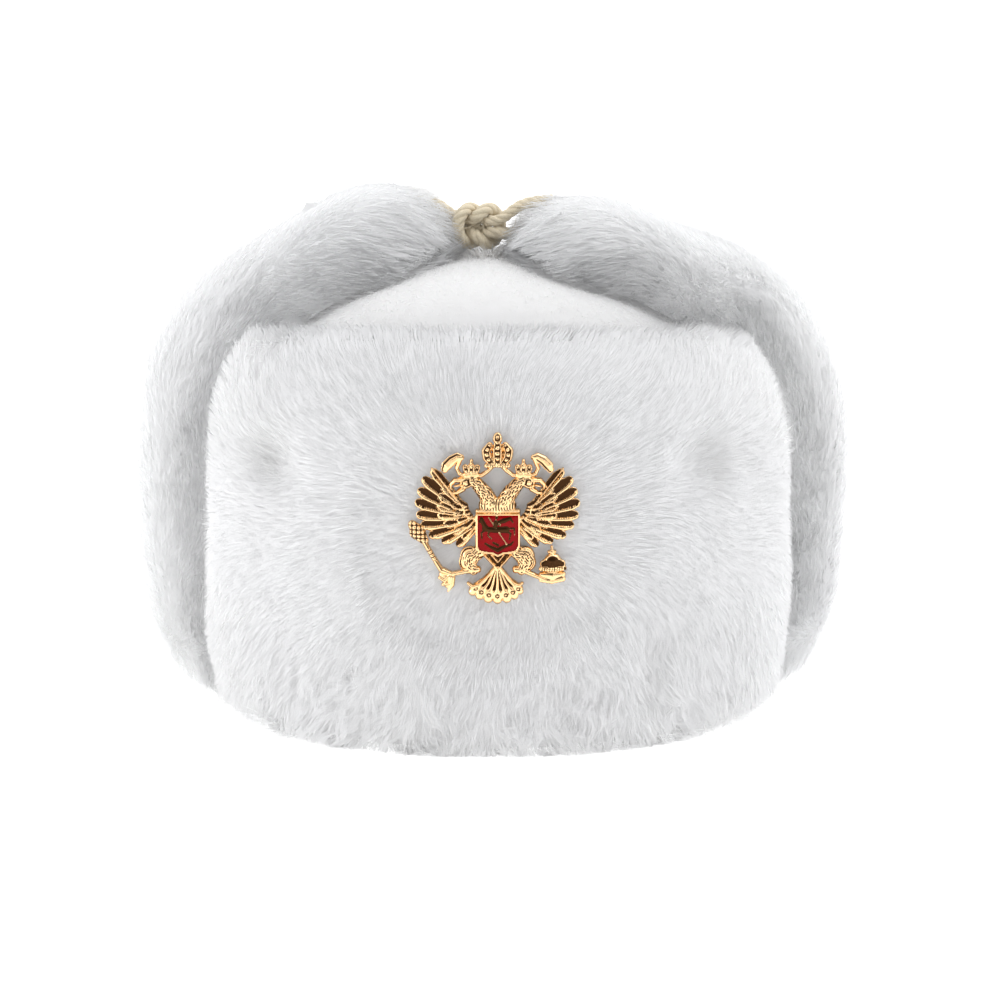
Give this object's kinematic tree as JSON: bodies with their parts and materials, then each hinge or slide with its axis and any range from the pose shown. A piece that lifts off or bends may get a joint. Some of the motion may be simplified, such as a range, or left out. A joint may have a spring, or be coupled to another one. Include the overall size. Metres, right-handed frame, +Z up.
{
  "type": "ushanka",
  "caption": "Padded white fur hat with a turned-up visor, ear flaps tied with a cord over the crown, a neck flap and a cast relief badge in front",
  "frame": {"origin": "middle of the underside, on the surface that the hat rests on", "axes": "+X to the right as seen from the front, +Y to the back (the wearer faces -Y), +Z up"},
  "size_m": [0.2688, 0.2898, 0.1888],
  "materials": {
    "plush": "matte",
    "fur": "matte",
    "cord": "matte",
    "badge": "polished",
    "enamel": "gloss"
  },
  "bodies": {
    "root": {"crown": "plush", "front_visor": "fur", "ear_flap_right": "fur", "ear_flap_left": "fur", "neck_flap": "fur", "tie_cord_right": "cord", "tie_cord_left": "cord", "eagle_badge": "badge", "badge_shield": "enamel"}
  },
  "joints": []
}
